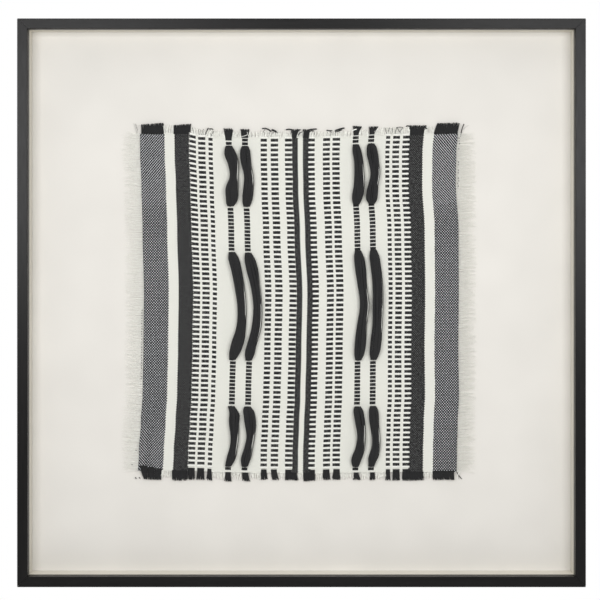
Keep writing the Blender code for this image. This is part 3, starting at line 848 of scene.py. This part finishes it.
BOTTOM_ENDS = (
    (1, -219, -209.2, 11.2, 12, 7.2, -214, -208),
    (1, -209.2, -199.2, 12, 12.6, 5.2, -208, -198.5),
    (1, -199.2, -189.5, 12.6, 12.6, 2.6, -198.5, -189.5),
    (0, -189.5, -175.8, 10, 10.5),
    (1, -175.8, -154.5, 13.6, 13.6, 0.6, -175.2, -154.5),
    (1, -154.5, -144.8, 12.4, 12, 4.2, -154.5, -144),
    (1, -141.5, -132, 12, 12, 4.2, -142.8, -130.8),
    (1, -127.7, -122.2, 11.8, 11.8, 4.2, -128.8, -120.6),
    (0, -120.4, -104, 10, 10),
    (1, -103, -96, 12.6, 12.6, -0.2, -104.6, -94.4),
    (0, -94.4, -82, 10, 10),
    (1, -80.6, -72.2, 11.6, 12.4, -0.2, -80.4, -69.2),
    (0, -69.2, -56.2, 9.5, 9.5),
    (1, -55, -47.4, 9.6, 9.6, 4.6, -55.6, -45.8),
    (1, -41.7, -33.5, 9.6, 10.4, 4.6, -40.3, -29.8),
    (0, -29.8, -22.6, 9.5, 9.5),
    (1, -22.2, -13.2, 9.8, 9.8, 4.6, -22.6, -13.2),
    (1, -13.4, -6.4, 9.8, 10.2, 0.6, -13.4, -4),
    (0, -4, 2.2, 9.5, 9.5),
    (1, 2.2, 10.8, 11.2, 10.8, 0.6, 2.6, 10.8),
    (1, 10.6, 18.4, 10.4, 10.2, 4.6, 10.6, 18.8),
    (0, 18.8, 29.2, 9.5, 9.5),
    (1, 29.4, 38.4, 9.8, 9.8, 4.6, 29.4, 40.2),
    (1, 43.6, 52.4, 9.8, 9.8, 4.6, 41.8, 53.4),
    (0, 53.4, 70, 9.5, 9.5),
    (1, 72, 78.4, 10.2, 10.2, -0.2, 70, 81.4),
    (0, 81.4, 93, 9.5, 9.5),
    (1, 94.2, 100.2, 10.4, 10.4, -0.2, 93.2, 101.2),
    (0, 101.2, 115.4, 9.5, 9.5),
    (1, 115.6, 121.2, 10.8, 10.8, 4.2, 115, 121.8),
    (1, 125, 134.4, 11, 11, 4.2, 124.2, 135),
    (1, 138.4, 147.6, 11.2, 11.4, 4.2, 138, 147.6),
    (1, 147.4, 167.2, 11.6, 11.2, 0.6, 147.4, 168.2),
    (0, 167.6, 179.6, 10, 10),
    (1, 179.6, 209.2, 11.2, 11, 1.2, 180.4, 210),
)


def warp_ends(zones, edge, way, chance):
    """Loose warp at the top or bottom edge: the black in dense tufts, and the white in thin spread plies."""
    lines = []
    for dye, *sizes in zones:
        root_left, root_right, length_left, length_right, *tuft = (0.001 * size for size in sizes)
        inside, tip_left, tip_right = tuft or (WHITE_INSIDE, root_left, root_right)
        pitch, girth = (BLACK_END_PITCH, BLACK_END_RADIUS) if dye else (WHITE_END_PITCH, WHITE_END_RADIUS)
        count = max(2, round(max(root_right - root_left, tip_right - tip_left) / pitch))
        for number in range(count):
            share = number / (count - 1)
            root = root_left + girth + (root_right - root_left - 2 * girth) * share
            tip = tip_left + girth + (tip_right - tip_left - 2 * girth) * share
            length = length_left + (length_right - length_left) * share
            if dye:
                length *= 1.02 - 0.22 * chance.random() ** 3
                lean, sway, layer = chance.gauss(0.0, 0.00030), 0.0, (number % 2) * 0.0006
            else:
                length *= chance.uniform(0.55, 1.1)
                lean, sway = chance.gauss(0.0, 0.0011), chance.gauss(0.0, 0.0005)
                layer = (number % 3) * 0.0004
            steps = np.linspace(0.0, 1.0, 8)
            out = -inside + (length + inside) * steps
            x = root + (tip - root + lean) * steps**1.5 + sway * np.sin(2.6 * steps)
            curl = chance.uniform(-0.3, 0.9) * 0.001 * steps * steps
            dives = np.interp(out, (-0.0012, 0.0012), (CLOTH_THICK + 0.0003, CLOTH_THICK * 0.5))
            forward = dives + curl + layer
            radius = girth * np.interp(steps, (0.0, 0.8, 1.0), (1.0, 1.0, 0.7))
            lines.append((hung(x, edge + way * out, forward), radius, float(dye)))
    return lines


def weft_ends(edge, way, chance):
    """The white weft past one side: a thin fuzz of fine, nearly straight ends that reach much one line."""
    lines = []
    count = round((CLOTH_TOP - CLOTH_BOTTOM) / PICK_PITCH)
    heights, *tips = zip(*WEFT_TIPS)
    for number in range(count):
        for _ in range(WEFT_ENDS_PER_PICK):
            root = CLOTH_BOTTOM + (CLOTH_TOP - CLOTH_BOTTOM) * (number + chance.random()) / count
            reach = abs(np.interp(root, heights, tips[way > 0]) - hung(edge, root)[0, 0])
            length = reach * (1.04 - 0.60 * chance.random() ** 1.5)
            steps = np.linspace(0.0, 1.0, 6)
            bend = chance.gauss(0.0, 0.10)
            curl = chance.uniform(-1.0, 1.0) * 0.0010
            wave = curl * np.sin(3.0 * steps + chance.uniform(0, 3)) * steps
            z = root + length * bend * steps * steps + wave
            x = edge + way * (length * steps - 0.0008)
            forward = CLOTH_THICK * 0.5 + chance.uniform(-0.6, 1.0) * 0.001 * steps
            radius = WEFT_END_RADIUS * np.interp(steps, (0.0, 0.7, 1.0), (1.0, 0.9, 0.5))
            lines.append((hung(x, z, forward), radius, 0.0))
    return lines


STRAY_STEPS = 9
TOP_STRAYS = (
    # dye, then in millimetres: radius, height off the board and the places it runs through once hung
    (0.8, 0.3, 2.5, (-226.2, 242.4), (-224.8, 237.5), (-223.5, 232.8)),
    (0.45, 0.25, 2.2, (-229, 243), (-226.6, 238), (-225.4, 231), (-222, 224)),
    (0.4, 0.25, 2.2, (-221.4, 240.5), (-223, 236), (-224, 230)),
    (1, 0.75, 3.4, (-127, 236.8), (-129.4, 231.6), (-132.4, 224.2)),
    (1, 0.8, 3.6, (-120.4, 234.6), (-122.8, 235.4), (-126, 235.2)),
    (0, 0.85, 3.8, (-121.8, 234), (-125, 229.4), (-127.6, 223.4)),
    (0.85, 0.45, 3.2, (-119.2, 232.6), (-122, 228.2), (-124.6, 222.2)),
    (0.8, 0.34, 2.6, (-148.6, 237), (-147, 231), (-145.6, 224)),
    (0.8, 0.34, 2.6, (-140.2, 235), (-139.4, 229), (-138.2, 221)),
    (0.85, 0.34, 2.6, (-137.4, 234), (-136.2, 228), (-134.6, 222.4)),
    (0.85, 0.34, 2.6, (-133.4, 235.2), (-134, 229.6), (-132.6, 223)),
    (0.05, 0.4, 4.2, (-82.2, 224.8), (-77.6, 225.6), (-72.8, 227.6)),
    (1, 0.9, 3, (-53.6, 235.8), (-49.2, 236), (-44.6, 234.4), (-41.2, 231.4)),
    (1, 1.3, 3, (-40.6, 234.2), (-36.6, 232.6), (-32.4, 229.4)),
    (0.85, 0.34, 2.6, (-55.8, 233), (-53, 228.4), (-54.4, 223.6)),
    (0.85, 0.34, 2.6, (-50, 234.4), (-52.8, 229), (-51, 223.2)),
    (0.8, 0.34, 2.6, (-44, 233), (-43.2, 228), (-41, 223)),
    (0.8, 0.34, 2.6, (-38, 231.6), (-39.8, 227), (-38.4, 222.4)),
    (1, 0.95, 3.2, (-21.2, 234.2), (-17, 234.8), (-12.2, 233.8), (-8.6, 230.4)),
    (1, 0.8, 3.6, (-1.4, 234.4), (-4.6, 232.6), (-7.6, 229), (-9.2, 225)),
    (1, 0.55, 3.6, (1.6, 231.6), (-2.8, 228.8), (-5.8, 223.4)),
    (1, 0.95, 3.2, (20.8, 235.2), (14.2, 234.8), (9.4, 233.6), (6.6, 229.6)),
    (1, 0.8, 3.2, (16.8, 232.6), (12.6, 232.4), (9, 229.6)),
    (0.8, 0.34, 2.6, (14.6, 230.8), (13.4, 227), (14.8, 222.6)),
    (0.8, 0.34, 2.6, (18.8, 231), (17, 226.6), (17.8, 222.6)),
    (1, 0.9, 3, (34.2, 233.4), (38.4, 232.8), (42.2, 232.8)),
    (0.85, 0.34, 2.6, (36.4, 232), (34.4, 227.6), (35.2, 222.8)),
    (0.8, 0.34, 2.6, (41, 231.6), (39.4, 227), (38, 223.2)),
    (1, 1.1, 3.2, (45.6, 232.6), (50.2, 234.4), (54.8, 235.8), (59, 236.6)),
    (1, 0.8, 3, (46.2, 230.8), (51, 232.6), (55.4, 234)),
    (0.85, 0.34, 2.6, (47.6, 231), (46, 227.4), (46.8, 223.6)),
    (1, 0.65, 3, (221.6, 242.2), (219.4, 236.6), (217.8, 229.4), (216.6, 224)),
    (0.45, 0.25, 2.6, (228, 240.4), (224, 238), (220.6, 234)),
    (0.85, 0.36, 2.8, (114.1, 236.9), (115, 233), (116.2, 228.7)),
    (0.85, 0.36, 2.8, (120.3, 237.2), (118.6, 233.4), (117.5, 230.1)),
    (0.85, 0.36, 2.8, (123.7, 236.9), (124.4, 233), (125.7, 229.4)),
    (0.85, 0.36, 2.8, (129.8, 236.9), (128.4, 233), (127.8, 228.7)),
    (0.9, 0.4, 3, (130.5, 237.2), (132.8, 233), (136, 228.7)),
    (0.9, 0.4, 3, (138, 237.6), (136.4, 234.2), (133.9, 230.8)),
    (0.95, 0.45, 3.2, (129.2, 237), (133.6, 237.8), (138.7, 237.4)),
    (0, 0.8, 4.2, (68.8, 232.6), (72, 234), (75.4, 234.9)),
    (1, 0.8, 3.2, (171.4, 235.6), (167, 237.8), (163.6, 236.4)),
    (1, 0.8, 3.2, (147, 238.8), (144.6, 239.6), (142.4, 238.6)),
)
BOTTOM_STRAYS = (
    (0.05, 0.45, 3.4, (-218.4, -226), (-217.4, -232.4), (-213.2, -238.6), (-211, -241.4)),
    (1, 0.7, 2.4, (-226.4, -239.8), (-225.4, -242)),
    (1, 0.6, 2.4, (-221.6, -239.4), (-220.2, -241.8)),
    (0.9, 0.5, 2.2, (-231.8, -222.4), (-230.2, -223.4)),
    (1, 0.6, 2.2, (-226.2, -202.8), (-224.8, -204.2)),
    (1, 0.6, 3, (211.6, -232.6), (214.6, -237.4), (218.8, -242.2)),
    (0.05, 0.55, 3.4, (215.6, -232.2), (213, -236.6), (212.4, -242)),
)
OUTER_WARP = (
    # highest and lowest loom z, loom x of the last warp, how far its floats stray, what share of them show
    (-0.0120, -0.1080, -0.2240, 0.00015, 1.0),
    (0.2220, 0.1560, 0.2158, 0.00060, 0.5),
)
FLOAT_PITCH, FLOAT_RADIUS = 0.0036, 0.00045


def stray_ends(strays, outer_warp, chance):
    """Single threads come loose from one edge, and short floats of the last warps outside the grey bands."""
    lines = []
    for dye, radius, lift, *places in strays:
        turns = np.linspace(0.0, 1.0, len(places))
        steps = np.linspace(0.0, 1.0, STRAY_STEPS)
        x, z = (flowing(turns, line, steps) * 0.001 for line in zip(*places))
        y = board_front - 0.001 * (lift + 0.8 * np.sin(2.4 * steps + chance.uniform(0, 2)))
        girth = 0.001 * radius * np.interp(steps, (0, 0.8, 1), (1, 1, 0.6))
        lines.append((np.stack([x, y, z], axis=1), girth, dye))
    for high, low, column, stray, showing in outer_warp:
        for height in np.arange(high, low, -FLOAT_PITCH):
            reach = chance.uniform(0.0005, 0.0009)
            z = height + np.array((-reach, 0.0, reach))
            if chance.random() < showing:
                x = column + chance.gauss(0.0, stray)
                lines.append((hung(x, z, CLOTH_THICK), FLOAT_RADIUS, 1.0))
    return lines


chance = random.Random(30)
for name, lines, slot in (
    (
        "top",
        warp_ends(TOP_ENDS, CLOTH_TOP, 1, chance) + stray_ends(TOP_STRAYS, OUTER_WARP, chance),
        "black_yarn",
    ),
    (
        "bottom",
        warp_ends(BOTTOM_ENDS, CLOTH_BOTTOM, -1, chance) + stray_ends(BOTTOM_STRAYS, (), chance),
        "black_yarn",
    ),
    ("left", weft_ends(CLOTH_LEFT, -1, chance), "white_yarn"),
    ("right", weft_ends(CLOTH_RIGHT, 1, chance), "white_yarn"),
):
    piece = spin("frayed_" + name, lines, slot, 5 if slot == "black_yarn" else 3)
    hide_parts("fringe_" + name)


# Floor. A pale studio floor, well below the frame and short enough to stay out of the front view.

FLOOR_Z = -1.0
floor_mesh = bpy.data.meshes.new("floor")
corners = [(-2.5, -3.0, FLOOR_Z), (2.5, -3.0, FLOOR_Z), (2.5, 1.2, FLOOR_Z), (-2.5, 1.2, FLOOR_Z)]
floor_mesh.from_pydata(corners, [], [(0, 1, 2, 3)])
floor_finish, floor_tree, floor_shader = start_finish("pale studio floor", Roughness=0.9)
floor_place = add(floor_tree, "TexCoord").outputs["Object"]
floor_cloud = add(floor_tree, "TexNoise", sockets={"Vector": floor_place, "Scale": 3.0})
floor_colour = add(floor_tree, "ValToRGB", floor_cloud, stops=((0.3, "e9e8e6"), (0.7, "f0efed")))
floor_tree.links.new(floor_colour.outputs["Color"], floor_shader.inputs["Base Color"])
floor_mesh.materials.append(floor_finish)
floor = bpy.data.objects.new("floor", floor_mesh)
bpy.context.scene.collection.objects.link(floor)


# Light. Two soft boxes stand in front, one to each side of the camera and a little above it, in a white
# studio that is darkest from eye level to a little below, so the board and the rails darken towards the foot.

BOX_ASIDE, BOX_UP = math.radians(22.0), math.radians(12.5)
BOX_DISTANCE = 1.4
BOX_WIDTH, BOX_HEIGHT = 0.55, 0.6
BOX_POWER = 7.9
GLOW = (
    # from straight down, 0, to straight up, 1, and how bright the studio is there
    (0.30, "a0a0a0"),
    (0.40, "585858"),
    (0.50, "606060"),
    (0.62, "888888"),
    (0.80, "b4b4b4"),
    (1.00, "ffffff"),
)
GLOW_BEHIND = (0.8, 0.8, 0.8, 1.0)
PURE_WHITE = (1.0, 1.0, 1.0, 1.0)
for azimuth in (-BOX_ASIDE, BOX_ASIDE):
    lamp = bpy.data.lights.new("soft box", "AREA")
    lamp.shape = "RECTANGLE"
    lamp.size, lamp.size_y = BOX_WIDTH, BOX_HEIGHT
    lamp.energy = BOX_POWER
    box = bpy.data.objects.new("soft box", lamp)
    box.location = (
        BOX_DISTANCE * math.sin(azimuth) * math.cos(BOX_UP),
        -BOX_DISTANCE * math.cos(azimuth) * math.cos(BOX_UP),
        BOX_DISTANCE * math.sin(BOX_UP),
    )
    box.rotation_mode = "QUATERNION"
    box.rotation_quaternion = box.location.to_track_quat("Z", "Y")
    bpy.context.scene.collection.objects.link(box)

world = bpy.data.worlds.new("white studio")
bpy.context.scene.world = world
world.use_nodes = True
sky = world.node_tree
sky.nodes.clear()
way = add(sky, "SeparateXYZ", add(sky, "TexCoord").outputs["Generated"])
height = add(sky, "MapRange", way.outputs["Z"], -1.0, 1.0, 0.0, 1.0)
glow = add(sky, "ValToRGB", height, stops=GLOW)
behind = add(sky, "Math GREATER_THAN", way.outputs["Y"], 0.0)
glow = add(sky, "Mix", behind, sockets={6: glow, 7: GLOW_BEHIND}, data_type="RGBA")
seen = add(sky, "LightPath").outputs["Is Camera Ray"]
glow = add(sky, "Mix", seen, sockets={6: glow.outputs[2], 7: PURE_WHITE}, data_type="RGBA")
air = add(sky, "Background", glow.outputs[2], 1.0)
add(sky, "OutputWorld", air)


# Camera. Level and face on, a little above the middle of the frame, with the shift that the framing needs.

FACE_DISTANCE = 1.75
EYE_HEIGHT = 0.10
VIEW_MIDDLE = 0.00375
VIEW_WIDTH = 0.8036
SENSOR = 36.0
lens = bpy.data.cameras.new("camera")
lens.sensor_width = SENSOR
lens.lens = SENSOR * FACE_DISTANCE / VIEW_WIDTH
lens.shift_y = (VIEW_MIDDLE - EYE_HEIGHT) / VIEW_WIDTH
lens.clip_start, lens.clip_end = 0.05, 50.0
camera = bpy.data.objects.new("camera", lens)
camera.location = (-0.002, cad_low.y - FACE_DISTANCE, EYE_HEIGHT)
camera.rotation_euler = (math.pi / 2, 0.0, 0.0)
bpy.context.scene.collection.objects.link(camera)
bpy.context.scene.camera = camera
bpy.context.scene.view_settings.view_transform = "Standard"
